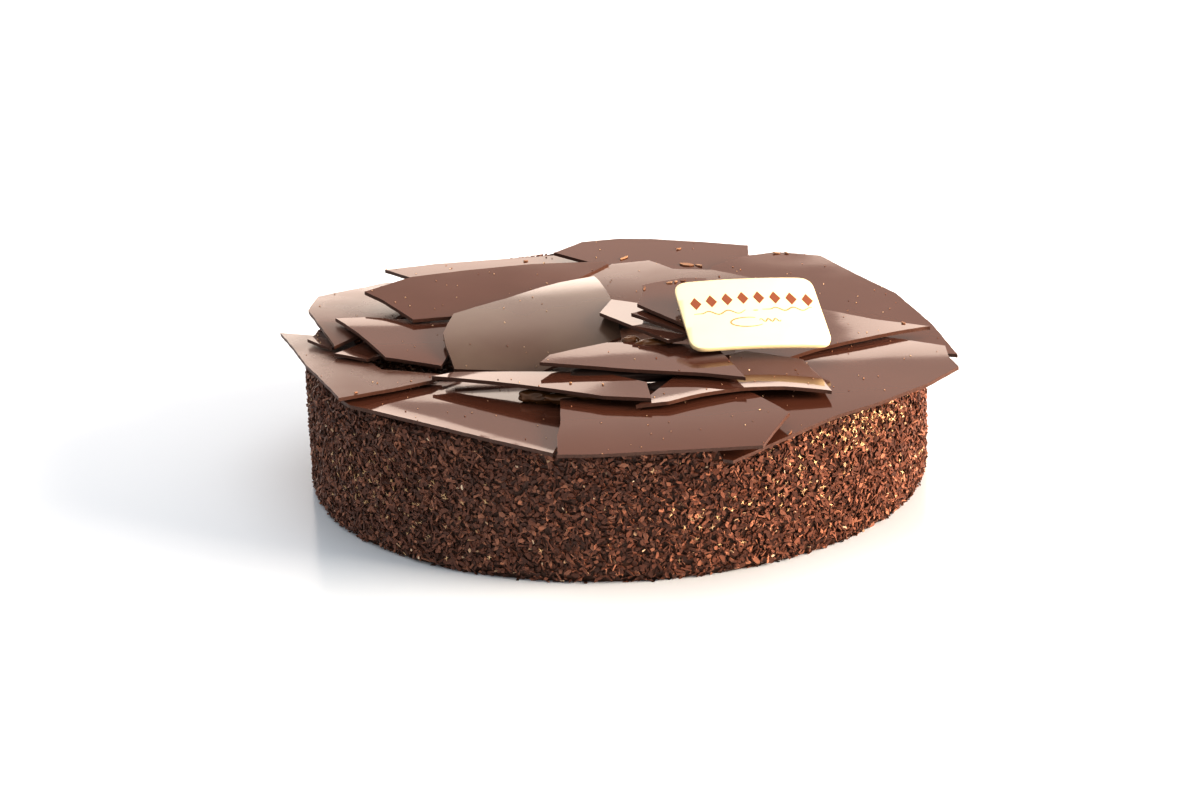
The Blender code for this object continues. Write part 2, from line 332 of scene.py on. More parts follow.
def end_tree(tree, geometry, finish):
    """Realizes the instances, gives everything the finish, and ends the tree."""
    real = add_node(tree, "GeometryNodeRealizeInstances", {"Geometry": geometry})
    dressed = add_node(tree, "GeometryNodeSetMaterial",
                       {"Geometry": real.outputs["Geometry"], "Material": finish})
    add_node(tree, "NodeGroupOutput", {"Geometry": dressed.outputs["Geometry"]})
    return tree


def run_tree(piece, tree, values):
    """Runs a tree on an object and keeps the result as its plain mesh."""
    modifier = piece.modifiers.new(tree.name, "NODES")
    modifier.node_group = tree
    for socket in tree.interface.items_tree:
        if socket.in_out == "INPUT" and socket.name in values:
            modifier[socket.identifier] = values[socket.name]
    freeze(piece)


def freeze(piece):
    """Turns what the modifiers show into the object's own mesh."""
    seen = piece.evaluated_get(bpy.context.evaluated_depsgraph_get())
    mesh = bpy.data.meshes.new_from_object(seen)
    piece.modifiers.clear()
    old = piece.data
    piece.data = mesh
    bpy.data.meshes.remove(old)
    mesh.name = piece.name


def new_piece(name, builder):
    """An object at the origin from a bmesh, whose place is in its mesh."""
    mesh = bpy.data.meshes.new(name)
    builder.to_mesh(mesh)
    builder.free()
    piece = bpy.data.objects.new(name, mesh)
    bpy.context.scene.collection.objects.link(piece)
    return piece


def triangles(piece):
    """How many triangles a piece has."""
    piece.data.calc_loop_triangles()
    return len(piece.data.loop_triangles)


# %% [markdown]
# ## The snapped plates
# Each plate is a sheet a little over a millimetre thick with straight or slightly bowed snapped sides. It
# dried on a curved film, so it carries a gentle bend. The solids are cut into flat strips, which would show
# in the mirror-like gloss, so each plate is made anew. Its outline and its bend are read from the solid:
# the corners of the top lie on one smooth curved surface, and a least-squares fit finds it. The sides get
# small bites, because chocolate never snaps clean, and the sheet is cut into squares fine enough to carry
# the ripple.

# %% Read a solid plate's outline and its bend
PLATE_THICKNESS = 1.15 * MM
SPLINTER_THICKNESS = 1.0 * MM
SAME_SPOT = 0.001 * MM
UPWARD = 0.5
FLAT_WITHIN = 0.01 * MM


def top_outline(node):
    """The corners round the top of a CAD plate, in order."""
    copy = bmesh.new()
    copy.from_mesh(frame["nodes"][node].data)
    bmesh.ops.remove_doubles(copy, verts=copy.verts, dist=SAME_SPOT)
    bmesh.ops.delete(copy, geom=[face for face in copy.faces if face.normal.z < UPWARD], context="FACES")
    following = {}
    for face in copy.faces:
        for loop in face.loops:
            if len(loop.edge.link_faces) == 1:
                following[loop.vert.co.copy().freeze()] = loop.link_loop_next.vert.co.copy().freeze()
    copy.free()
    corners = [next(iter(following))]
    while following[corners[-1]] != corners[0]:
        corners.append(following[corners[-1]])
    return corners


def bend_terms(x, y):
    """The terms of a gently curved surface over the plan."""
    return np.stack([np.ones_like(x), x, y, x * x, x * y, y * y], axis=-1)


def fitted_bend(corners):
    """The smooth surface through the corners: its middle, and six numbers for its height round that."""
    points = np.array(corners)
    middle = points.mean(axis=0)
    x, y, z = (points - middle).T
    terms = bend_terms(x, y)
    flat, *_ = np.linalg.lstsq(terms[:, :3], z, rcond=None)
    if np.abs(terms[:, :3] @ flat - z).max() < FLAT_WITHIN:
        return middle, np.append(flat, [0.0, 0.0, 0.0])
    curved, *_ = np.linalg.lstsq(terms, z, rcond=None)
    return middle, curved


def bend_miss(node):
    """How far a plate's fitted bend misses its corners at most."""
    middle, bend = bends[node]
    x, y, z = (np.array(outlines[node]) - middle).T
    return np.abs(bend_terms(x, y) @ bend - z).max()


PLATE_NODES = [name for name in frame["nodes"] if name.startswith(("shard", "splinter"))]
outlines = {node: top_outline(node) for node in PLATE_NODES}
bends = {node: fitted_bend(corners) for node, corners in outlines.items()}
worst = max(bend_miss(node) for node in PLATE_NODES)
print(len(PLATE_NODES), "plates read; the bends miss their corners by", round(worst / MM, 4), "mm at most")

# %% Cut a sheet with bitten sides
EDGE_STEP = 1.1 * MM
BITE_DEPTH = 0.3 * MM
BITE_WIDTH = 5.0 * MM
CHIP_DEPTH = 0.14 * MM
CHIP_WIDTH = 1.6 * MM
SHEET_CELL = 2.6 * MM
CUT_WITHIN = 0.01 * MM


def bitten(corners, chance):
    """The outline in small steps, each moved a little inwards, as the break wandered."""
    shift = Vector((chance.uniform(0, 50), chance.uniform(0, 50), 0.0))
    points = []
    for start, end in zip(corners, corners[1:] + corners[:1]):
        run = Vector((end.x - start.x, end.y - start.y, 0.0))
        steps = max(1, round(run.length / EDGE_STEP))
        inward = Vector((-run.y, run.x, 0.0)).normalized()
        for step in range(steps):
            point = Vector((start.x, start.y, 0.0)) + run * step / steps
            bite = BITE_DEPTH * (0.5 + 0.5 * noise.noise(point / BITE_WIDTH + shift))
            chip = CHIP_DEPTH * (0.5 + 0.5 * noise.noise(point / CHIP_WIDTH - shift))
            points.append(point + inward * (bite + chip))
    return points


def cut_sheet(points, cell):
    """A flat sheet with that outline, cut into squares."""
    sheet = bmesh.new()
    sheet.faces.new([sheet.verts.new((point.x, point.y, 0.0)) for point in points])
    for axis in (Vector((1.0, 0.0, 0.0)), Vector((0.0, 1.0, 0.0))):
        reaches = [corner.co.dot(axis) for corner in sheet.verts]
        first, last = math.ceil(min(reaches) / cell), math.floor(max(reaches) / cell)
        for step in range(first, last + 1):
            parts = sheet.verts[:] + sheet.edges[:] + sheet.faces[:]
            bmesh.ops.bisect_plane(sheet, geom=parts, plane_co=axis * step * cell, plane_no=axis,
                                   dist=CUT_WITHIN)
    for face in sheet.faces:
        if face.normal.z < 0:
            face.normal_flip()
    return sheet


# %% [markdown]
# The bend is a rule, so Geometry Nodes lay it on: the tree lifts every point of the flat sheet to the
# fitted surface and adds the ripple that the film had. One tree serves all the plates, and only its inputs
# differ.

# %% The tree that bends and ripples a plate
BEND_TERMS = {"Lean X": "X", "Lean Y": "Y", "Bend XX": "XX", "Bend XY": "XY", "Bend YY": "YY"}


def plate_tree():
    """Lifts a flat sheet to its bend and ripples it."""
    sizes = {"Middle": "Vector", "Height": "Float", "Ripple height": "Float", "Ripple width": "Float",
             "Seed": "Float"}
    sizes.update({label: "Float" for label in BEND_TERMS})
    tree, given = new_tree("poured plate", sizes)
    place = add_node(tree, "GeometryNodeInputPosition").outputs["Position"]
    away = add_node(tree, "ShaderNodeVectorMath", {0: place, 1: given["Middle"]}, operation="SUBTRACT")
    across = add_node(tree, "ShaderNodeSeparateXYZ", {0: away.outputs[0]}).outputs
    height = given["Height"]
    for label, factors in BEND_TERMS.items():
        term = given[label]
        for factor in factors:
            times = add_node(tree, "ShaderNodeMath", {0: term, 1: across[factor]}, operation="MULTIPLY")
            term = times.outputs[0]
        height = add_node(tree, "ShaderNodeMath", {0: height, 1: term}, operation="ADD").outputs[0]
    spread = add_node(tree, "ShaderNodeMath", {0: 1.0, 1: given["Ripple width"]}, operation="DIVIDE")
    ripple = add_node(tree, "ShaderNodeTexNoise",
                      {"Vector": place, "W": given["Seed"], "Scale": spread.outputs[0], "Detail": 1.0},
                      noise_dimensions="4D")
    swing = add_node(tree, "ShaderNodeMath", {0: ripple.outputs["Fac"], 1: 0.5}, operation="SUBTRACT")
    lift = add_node(tree, "ShaderNodeMath", {0: swing.outputs[0], 1: given["Ripple height"], 2: height},
                    operation="MULTIPLY_ADD")
    upwards = add_node(tree, "ShaderNodeCombineXYZ", {"Z": lift.outputs[0]})
    moved = add_node(tree, "GeometryNodeSetPosition",
                     {"Geometry": given["Geometry"], "Offset": upwards.outputs[0]})
    return end_tree(tree, moved.outputs["Geometry"], GLOSS)


PLATE_TREE = plate_tree()
print("plate tree with", len(PLATE_TREE.nodes), "nodes")

# %% [markdown]
# Six plates have settled by a degree or two, or twisted, bowed or risen a little, since the solids are flat
# strips: a fraction of a millimetre decides what a glossy plate mirrors. One plate's outer border turns up,
# as its film did. The bent sheet is thickened downwards by Solidify, its edges are broken by a narrow
# Bevel, and the faces round the rim get the snapped finish. Only then does the plate take the place of its
# solid.

# %% How the plates differ
RIPPLE_HEIGHT = 0.16 * MM
RIPPLE_WIDTH = 24.0 * MM
EDGE_ROUND = 0.12 * MM
BEVEL_FROM = math.radians(55)
SHARP_FROM = math.radians(30)
RIM_SLOPE = 0.6
PLATE_FINISHES = {"shard_left_point": SATIN, "shard_left_arch": SATIN, "shard_centre": SATIN,
                  "shard_centre_curl": CLOUDED, "shard_back_lean": DULL, "shard_right_back": DEEP,
                  "shard_small_light": GLASSY, "shard_right_curl": GLASSY, "shard_back_left": DEEP}
# Added slope towards the viewer, twist per metre, bow per metre, and lift.
SETTLED = {"shard_front_top": (-0.025, 0.0, 0.0, 0.0), "shard_small_light": (-0.04, 0.0, 0.0, 0.1 * MM),
           "shard_right_curl": (0.01, -0.9, 1.7, 0.0), "shard_front_strip": (0.0, 1.3, 0.0, 0.0),
           "shard_right_strip": (0.03, -1.8, 0.0, 0.75 * MM), "shard_right_front": (0.012, 0.0, 0.0, 0.0)}
LIP_WIDTH = 7.0 * MM
LIP_HEIGHT = 0.5 * MM
LIPS = {"shard_front_left": (Vector((-0.083, -0.066, 0.0)), Vector((-0.020, -0.112, 0.0)))}


# %% From the sheet to the plate


def bend_inputs(middle, bend):
    """A fitted bend as the inputs of the plate tree."""
    values = {label: float(number) for label, number in zip(BEND_TERMS, bend[1:])}
    values["Height"] = float(middle[2] + bend[0])
    values["Middle"] = (float(middle[0]), float(middle[1]), 0.0)
    return values


def thicken(piece, thickness, edge):
    """Gives a sheet its thickness, downwards, and breaks its edges."""
    wall = piece.modifiers.new("thickness", "SOLIDIFY")
    wall.thickness = thickness
    wall.offset = -1.0
    wall.use_even_offset = True
    soften = piece.modifiers.new("broken edge", "BEVEL")
    soften.width = edge
    soften.segments = 1
    soften.limit_method = "ANGLE"
    soften.angle_limit = BEVEL_FROM
    freeze(piece)


def dress_rim(piece, rim_finish):
    """The steep faces round a plate get the finish of a break."""
    piece.data.materials.append(rim_finish)
    for face in piece.data.polygons:
        face.use_smooth = True
        if abs(face.normal.z) < RIM_SLOPE:
            face.material_index = 1
    piece.data.set_sharp_from_angle(angle=SHARP_FROM)


def turn_up(piece, start, end):
    """Turns up the border of a sheet along the line from start to end, as the film did."""
    run = (end - start).normalized()
    inward = Vector((-run.y, run.x, 0.0))
    for corner in piece.data.vertices:
        near = (corner.co - start).dot(inward)
        if near < LIP_WIDTH:
            corner.co.z += LIP_HEIGHT * (1.0 - max(near, 0.0) / LIP_WIDTH) ** 2


# %% Make every plate


def make_plate(node, chance):
    """One plate, from the flat sheet to the finished piece."""
    middle, bend = bends[node]
    piece = new_piece(node.replace("shard", "plate"), cut_sheet(bitten(outlines[node], chance), SHEET_CELL))
    values = bend_inputs(middle, bend)
    for name, extra in zip(("Lean Y", "Bend XY", "Bend YY", "Height"), SETTLED.get(node, ())):
        values[name] += extra
    values.update({"Ripple height": RIPPLE_HEIGHT, "Ripple width": RIPPLE_WIDTH,
                   "Seed": chance.uniform(0, 90)})
    run_tree(piece, PLATE_TREE, values)
    if node in LIPS:
        turn_up(piece, *LIPS[node])
    thicken(piece, SPLINTER_THICKNESS if node.startswith("splinter") else PLATE_THICKNESS, EDGE_ROUND)
    piece.data.materials[0] = PLATE_FINISHES.get(node, GLOSS)
    dress_rim(piece, SNAP)
    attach(piece, "root")
    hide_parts(node)
    return piece


plates = [make_plate(node, random.Random(place)) for place, node in enumerate(PLATE_NODES)]
print("plates have", sum(triangles(plate) for plate in plates), "triangles in all")

# %% [markdown]
# ## The coated cake
# Under the flakes is a drum of cake, masked with dark ganache that holds them. It only shows as the dark
# between the flakes, so a turned profile with a soft rim is enough, roughened by noise so that the flakes
# do not all stand level.

# %% The drum under the flakes
DRUM_RADIUS = 100.2 * MM
DRUM_HEIGHT = 44.7 * MM
DRUM_RIM = 2.5 * MM
DRUM_SIDES = 260
DRUM_BUMP = 0.7 * MM
DRUM_BUMP_WIDTH = 4.0 * MM
DRUM_SUNK = 0.3
DRUM_FOOT = 1.0 * MM
WALL_STEPS = 18
TOP_STEPS = 26
# Each patch: its angle round the cake and its height in mm, its reach in degrees and in mm, and its strength.
# The strongest patch lies on the right front, where the key lamp lights the side: its pale gold there is
# partly glaze and partly painted highlight.
GLAZE_AND_HIGHLIGHT_PATCHES = [(-42, 36, 9, 6, 1.0), (-58, 26, 9, 9, 0.4), (-78, 22, 9, 8, 0.14), (-22, 15, 10, 6, 0.12),
                 (60, 30, 16, 8, 0.4), (150, 26, 14, 9, 0.4), (-140, 20, 12, 8, 0.25)]
GLAZE_EVERYWHERE = 0.01


def ganache(name, tones):
    """Dark ganache: soft and dull, two given browns mottled by noise with a little relief; the lumps under
    the front plates get near-black browns as painted shade.
    """
    made, tree, shader, place = new_finish(name)
    mottle(tree, shader, place, 1.4, 3.0, tones, 0.3)
    shader.inputs["Roughness"].default_value = 0.6
    return made


def drum_profile():
    """Radius and height round the drum's section, from the foot to the middle of the top."""
    wall = [(DRUM_RADIUS, (DRUM_HEIGHT - DRUM_RIM) * step / WALL_STEPS) for step in range(WALL_STEPS + 1)]
    wall[0] = (DRUM_RADIUS - DRUM_FOOT, 0.0)
    turns = [math.radians(angle) for angle in (30, 60, 90)]
    rim = [(DRUM_RADIUS - DRUM_RIM * (1 - math.cos(turn)), DRUM_HEIGHT - DRUM_RIM * (1 - math.sin(turn)))
           for turn in turns]
    inner = [((DRUM_RADIUS - DRUM_RIM) * (1 - step / TOP_STEPS), DRUM_HEIGHT) for step in range(1, TOP_STEPS)]
    return wall + rim + inner


def drum():
    """The turned drum, roughened on the wall and the top and flat below."""
    profile = drum_profile()
    made = bmesh.new()
    rings = []
    for radius, height in profile:
        ring = []
        for side in range(DRUM_SIDES):
            angle = 2 * math.pi * side / DRUM_SIDES
            point = Vector((radius * math.cos(angle), radius * math.sin(angle), height))
            if height > 0:
                sideways = Vector((math.cos(angle), math.sin(angle), 0.0))
                outward = sideways if height < DRUM_HEIGHT else Vector((0.0, 0.0, 1.0))
                point += outward * DRUM_BUMP * (noise.noise(point / DRUM_BUMP_WIDTH) - DRUM_SUNK)
            ring.append(made.verts.new(point))
        rings.append(ring)
    for lower, upper in zip(rings, rings[1:]):
        for side in range(DRUM_SIDES):
            beside = (side + 1) % DRUM_SIDES
            made.faces.new((lower[side], lower[beside], upper[beside], upper[side]))
    made.faces.new(rings[0][::-1])
    made.faces.new(rings[-1])
    return made


def glaze_and_highlight_share(place):
    """How much pale glaze shows between the flakes at a place of the wall, from 0 to 1; on the lit right
    front it is partly painted highlight.
    """
    angle = math.degrees(math.atan2(place.y, place.x))
    patches = [strength * math.exp(-((angle - middle) / reach) ** 2 - ((place.z / MM - level) / height) ** 2)
               for middle, level, reach, height, strength in GLAZE_AND_HIGHLIGHT_PATCHES]
    return min(1.0, max(patches) + GLAZE_EVERYWHERE)


core = new_piece("cake_core", drum())
core.data.materials.append(ganache("dark_ganache_masking", ("#38251B", "#573B2E")))
core.data.shade_smooth()
shares = {"everywhere": [1.0] * len(core.data.vertices),
          "glazed": [glaze_and_highlight_share(corner.co) for corner in core.data.vertices]}
for label, values in shares.items():
    core.data.attributes.new(label, "FLOAT", "POINT").data.foreach_set("value", values)
print("cake core:", triangles(core), "triangles")

# %% [markdown]
# ## Shaved chocolate flakes
# The coat is couverture shaved and sieved: flat chips and slivers 2 to 3 mm long, thin strands, small curls
# and crumbs, all pressed on by hand so that they point every way. Over forty thousand of them could be
# particles, but those are lost in an export. Geometry Nodes scatter real meshes: each kind has a few shapes
# with few faces, and chance picks, turns and sizes them. Every flake also gets a random tone, kept as an
# attribute for its colour.

# %% The finish of the flakes
FLAKE_TONES = [(0.0, "#432A20"), (0.35, "#5A392C"), (0.8, "#714A3A"), (1.0, "#9A6D57")]
# Light tones for a few flakes that stand in for glints on the coat: painted highlight.
GLINT_PAINTED_TONES = [(0.0, "#8C7058"), (0.6, "#B89C80"), (1.0, "#D8C6AE")]


def shaved_chocolate(name, tones, roughness):
    """Shaved couverture: each flake has its own brown, with the dull shine of a cut face."""
    made, tree, shader, place = new_finish(name)
    tone = add_node(tree, "ShaderNodeAttribute", attribute_name="tone")
    ramp = add_node(tree, "ShaderNodeValToRGB", {"Fac": tone.outputs["Fac"]})
    for position, colour in tones[1:-1]:
        ramp.color_ramp.elements.new(position).color = linear(colour)
    ramp.color_ramp.elements[0].color = linear(tones[0][1])
    ramp.color_ramp.elements[-1].color = linear(tones[-1][1])
    scrapes = add_node(tree, "ShaderNodeTexNoise", {"Vector": place, "Scale": grain(0.8), "Detail": 2.0})
    marks = add_node(tree, "ShaderNodeBump", {"Height": scrapes.outputs["Fac"], "Distance": 0.05 * MM})
    tree.links.new(ramp.outputs["Color"], shader.inputs["Base Color"])
    tree.links.new(marks.outputs["Normal"], shader.inputs["Normal"])
    shader.inputs["Roughness"].default_value = roughness
    shader.inputs["IOR"].default_value = 1.47
    return made


FLAKE = shaved_chocolate("shaved_dark_couverture", FLAKE_TONES, 0.5)
PAINTED_GLINT_FLAKE = shaved_chocolate("shaved_pale_couverture", GLINT_PAINTED_TONES, 0.35)

# %% Chips, strands and slivers


def prism(outline, thickness, bow):
    """A thin chip with that outline, bowed along its length by so much per metre."""
    made = bmesh.new()
    layers = []
    for side in (-0.5, 0.5):
        layers.append([made.verts.new((x, y, side * thickness + bow * x * x)) for x, y in outline])
    made.faces.new(layers[0][::-1])
    made.faces.new(layers[1])
    for place in range(len(outline)):
        beside = (place + 1) % len(outline)
        made.faces.new((layers[0][place], layers[0][beside], layers[1][beside], layers[1][place]))
    return made


def chip_outline(chance, sides, length, width):
    """An uneven rounded outline."""
    turns = [2 * math.pi * (step + chance.uniform(-0.25, 0.25)) / sides for step in range(sides)]
    return [(0.5 * length * math.cos(turn) * chance.uniform(0.8, 1.1),
             0.5 * width * math.sin(turn) * chance.uniform(0.75, 1.15)) for turn in turns]


def broad_flake(chance):
    """A flat chip, about as thick as card."""
    return prism(chip_outline(chance, 6, 2.5 * MM, 1.5 * MM), 0.32 * MM, chance.uniform(-60, 60))


def strand(chance):
    """A thin tapered strand."""
    taper = chance.uniform(0.3, 0.8)
    outline = [(-1.4 * MM, -0.3 * MM), (1.3 * MM, -0.3 * MM * taper), (1.4 * MM, 0.25 * MM * taper),
               (-1.3 * MM, 0.34 * MM)]
    return prism(outline, 0.45 * MM, 0.0)


def sliver(chance):
    """A small thin chip with four uneven sides."""
    return prism(chip_outline(chance, 4, 2.2 * MM, 1.4 * MM), 0.26 * MM, 0.0)


# %% Curls, crumbs and shreds of glaze


def curl(chance):
    """A narrow shaving that rolled up a little as the blade lifted it."""
    made = bmesh.new()
    radius, width, thickness = chance.uniform(1.0, 1.8) * MM, chance.uniform(0.8, 1.4) * MM, 0.25 * MM
    turns = [math.radians(40 + 100 * step / 4) for step in range(5)]
    rows = []
    for turn in turns:
        skew = 0.25 * MM * math.sin(turn)
        rows.append([made.verts.new((reach * math.cos(turn), side + skew, reach * math.sin(turn) - radius))
                     for reach, side in ((radius, -width / 2), (radius, width / 2),
                                         (radius + thickness, width / 2), (radius + thickness, -width / 2))])
    for row, ahead in zip(rows, rows[1:]):
        for place in range(4):
            beside = (place + 1) % 4
            made.faces.new((row[place], row[beside], ahead[beside], ahead[place]))
    made.faces.new(rows[0][::-1])
    made.faces.new(rows[-1])
    bmesh.ops.recalc_face_normals(made, faces=made.faces)
    return made


def crumb(chance):
    """A little lump with six uneven corners."""
    made = bmesh.new()
    bmesh.ops.create_cube(made, size=0.9 * MM)
    for corner in made.verts:
        corner.co *= chance.uniform(0.6, 1.15)
        corner.co.x += chance.uniform(-0.15, 0.15) * MM
    return made


def web(chance):
    """A shred of glaze drawn out between flakes, with ragged arms."""
    outline = []
    for step in range(8):
        reach = (1.3 if step % 2 else 0.35) * MM * chance.uniform(0.6, 1.1)
        turn = 2 * math.pi * (step + chance.uniform(-0.3, 0.3)) / 8
        outline.append((reach * math.cos(turn), 0.7 * reach * math.sin(turn)))
    return prism(outline, 0.3 * MM, chance.uniform(-80, 80))


# %% The finish of the glaze


def glaze(name, tones):
    """Apricot glaze: wet and shiny, two given tones mottled by noise. The thin shreds are pale gold, partly
    as painted highlight.
    """
    made, tree, shader, place = new_finish(name)
    mottle(tree, shader, place, 3.0, 2.0, tones)
    shader.inputs["Roughness"].default_value = 0.16
    shader.inputs["IOR"].default_value = 1.45
    return made


# %% [markdown]
# The tree that scatters them takes the drum, spreads points over its wall and over the part of the top that
# can be seen, lays each flake to the surface, then spins and tilts it by chance. Flakes that would reach
# below the table are pushed up at the end.

# %% The tree that scatters the flakes
LEVEL_FACES = 0.7
OFF_TABLE = 0.05 * MM


def flake_tree(name, finish):
    """Scatters shapes from a collection over the drum."""
    tree, given = new_tree(name, {
        "Shapes": "Collection", "Where": "String", "Per square metre": "Float", "Share on wall": "Float",
        "Share on top": "Float", "Inner radius": "Float", "Tilt": "Float", "Least size": "Float",
        "Most size": "Float", "Least stand": "Float", "Most stand": "Float", "Seed": "Int"})
    normal = add_node(tree, "GeometryNodeInputNormal").outputs[0]
    facing = add_node(tree, "ShaderNodeSeparateXYZ", {0: normal}).outputs["Z"]
    place = add_node(tree, "GeometryNodeInputPosition").outputs[0]
    level = add_node(tree, "ShaderNodeVectorMath", {0: place, 1: (1.0, 1.0, 0.0)}, operation="MULTIPLY")
    reach = add_node(tree, "ShaderNodeVectorMath", {0: level.outputs[0]}, operation="LENGTH").outputs["Value"]
    outer = add_node(tree, "ShaderNodeMath", {0: reach, 1: given["Inner radius"]}, operation="GREATER_THAN")
    on_top = add_node(tree, "ShaderNodeMath", {0: facing, 1: LEVEL_FACES}, operation="GREATER_THAN")
    tallied = add_node(tree, "ShaderNodeMath", {0: on_top.outputs[0], 1: given["Share on top"]},
                       operation="MULTIPLY")
    top = add_node(tree, "ShaderNodeMath", {0: tallied.outputs[0], 1: outer.outputs[0]}, operation="MULTIPLY")
    upright = add_node(tree, "ShaderNodeMath", {0: facing}, operation="ABSOLUTE")
    on_wall = add_node(tree, "ShaderNodeMath", {0: upright.outputs[0], 1: LEVEL_FACES}, operation="LESS_THAN")
    share = add_node(tree, "ShaderNodeMath",
                     {0: on_wall.outputs[0], 1: given["Share on wall"], 2: top.outputs[0]},
                     operation="MULTIPLY_ADD")
    mask = add_node(tree, "GeometryNodeInputNamedAttribute", {"Name": given["Where"]}, data_type="FLOAT")
    here = add_node(tree, "ShaderNodeMath", {0: mask.outputs["Attribute"], 1: share.outputs[0]},
                    operation="MULTIPLY")
    density = add_node(tree, "ShaderNodeMath", {0: given["Per square metre"], 1: here.outputs[0]},
                       operation="MULTIPLY")
    points = add_node(tree, "GeometryNodeDistributePointsOnFaces",
                      {"Mesh": given["Geometry"], "Density": density.outputs[0], "Seed": given["Seed"]})

    other_way = add_node(tree, "ShaderNodeMath", {0: given["Tilt"], 1: -1.0}, operation="MULTIPLY").outputs[0]
    least = add_node(tree, "ShaderNodeCombineXYZ", {0: other_way, 1: other_way, 2: 0.0}).outputs[0]
    most = add_node(tree, "ShaderNodeCombineXYZ",
                    {0: given["Tilt"], 1: given["Tilt"], 2: 2 * math.pi}).outputs[0]
    ranges = {"stand": ("FLOAT", given["Least stand"], given["Most stand"]),
              "turn": ("FLOAT_VECTOR", least, most),
              "size": ("FLOAT_VECTOR", given["Least size"], given["Most size"]),
              "tone": ("FLOAT", 0.0, 1.0)}
    drawn = {}
    for draw, (label, (kind, low, high)) in enumerate(ranges.items(), start=1):
        seed = add_node(tree, "ShaderNodeMath", {0: given["Seed"], 1: float(draw)}, operation="ADD")
        lowest, highest, result = (2, 3, 1) if kind == "FLOAT" else (0, 1, 0)
        value = add_node(tree, "FunctionNodeRandomValue",
                         {lowest: low, highest: high, "Seed": seed.outputs[0]}, data_type=kind)
        drawn[label] = value.outputs[result]

    outwards = add_node(tree, "ShaderNodeVectorMath",
                        {0: points.outputs["Normal"], "Scale": drawn["stand"]}, operation="SCALE")
    raised = add_node(tree, "GeometryNodeSetPosition",
                      {"Geometry": points.outputs["Points"], "Offset": outwards.outputs[0]})
    spin = add_node(tree, "FunctionNodeEulerToRotation", {0: drawn["turn"]})
    turned = add_node(tree, "FunctionNodeRotateRotation",
                      {0: points.outputs["Rotation"], 1: spin.outputs[0]}, rotation_space="LOCAL")
    shapes = add_node(tree, "GeometryNodeCollectionInfo",
                      {"Collection": given["Shapes"], "Separate Children": True, "Reset Children": True})
    scattered = add_node(tree, "GeometryNodeInstanceOnPoints",
                         {"Points": raised.outputs["Geometry"], "Instance": shapes.outputs[0],
                          "Pick Instance": True, "Rotation": turned.outputs[0], "Scale": drawn["size"]})
    toned = add_node(tree, "GeometryNodeStoreNamedAttribute",
                     {"Geometry": scattered.outputs["Instances"], "Name": "tone", "Value": drawn["tone"]},
                     domain="INSTANCE", data_type="FLOAT")
    real = add_node(tree, "GeometryNodeRealizeInstances", {"Geometry": toned.outputs["Geometry"]})
    spot = add_node(tree, "ShaderNodeSeparateXYZ", {0: place}).outputs
    height = add_node(tree, "ShaderNodeMath", {0: spot[2], 1: OFF_TABLE}, operation="MAXIMUM").outputs[0]
    above = add_node(tree, "ShaderNodeCombineXYZ", {0: spot[0], 1: spot[1], 2: height})
    kept = add_node(tree, "GeometryNodeSetPosition",
                    {"Geometry": real.outputs["Geometry"], "Position": above.outputs[0]})
    return end_tree(tree, kept.outputs["Geometry"], finish)


# %% Scatter each kind of flake
INNER_RADIUS = 54.0 * MM
WALL_AREA = 2 * math.pi * DRUM_RADIUS * DRUM_HEIGHT
TOP_AREA = math.pi * (DRUM_RADIUS**2 - INNER_RADIUS**2)
TOP_SHARE = 0.6
PRESSED_BEHIND = 70.0 * MM
PRESSED_SHARE = 0.3


def press_flat(piece):
    """Lays down the flakes on the top's far side, where the plates were slid in over them."""
    for corner in piece.data.vertices:
        if corner.co.y > PRESSED_BEHIND and corner.co.z > DRUM_HEIGHT:
            corner.co.z = DRUM_HEIGHT + PRESSED_SHARE * (corner.co.z - DRUM_HEIGHT)


def shapes_of(name, shape, variants, chance):
    """A collection with a few variants of one small shape."""
    shapes = bpy.data.collections.new(name + "_shapes")
    for variant in range(variants):
        mesh = bpy.data.meshes.new(f"{name}_{variant}")
        builder = shape(chance)
        builder.to_mesh(mesh)
        builder.free()
        shapes.objects.link(bpy.data.objects.new(f"{name}_shape_{variant}", mesh))
    return shapes


def drop_shapes(shapes):
    """Removes a collection of shapes."""
    for made in list(shapes.objects):
        bpy.data.objects.remove(made, do_unlink=True)
    bpy.data.collections.remove(shapes)


def drop_masks(piece):
    """Removes the values that told the scatter where to put its shapes."""
    for label in ("everywhere", "glazed"):
        if label in piece.data.attributes:
            piece.data.attributes.remove(piece.data.attributes[label])


def scatter(name, shape, variants, count, finish, tilt, sizes, stands, seed, where="everywhere"):
    """Scatters about that many flakes of one kind over the drum, as one piece."""
    shapes = shapes_of(name, shape, variants, random.Random(seed))
    piece = bpy.data.objects.new(name, core.data.copy())
    bpy.context.scene.collection.objects.link(piece)
    run_tree(piece, flake_tree(name + " tree", finish), {
        "Shapes": shapes, "Where": where, "Per square metre": count / (WALL_AREA + TOP_SHARE * TOP_AREA),
        "Share on wall": 1.0, "Share on top": TOP_SHARE, "Inner radius": INNER_RADIUS,
        "Tilt": math.radians(tilt), "Least size": sizes[0], "Most size": sizes[1],
        "Least stand": stands[0] * MM, "Most stand": stands[1] * MM, "Seed": seed})
    drop_shapes(shapes)
    drop_masks(piece)
    press_flat(piece)
    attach(piece, "root")
    print(name, triangles(piece), "triangles")
    return piece


# The thin glaze is pale gold, far lighter than the glaze lumps under the plates: partly its own colour,
# partly painted highlight on the lit side.
PALE_GLAZE_AND_HIGHLIGHT = glaze("apricot_glaze_drawn_thin", ("#9C7A52", "#DCC09A"))
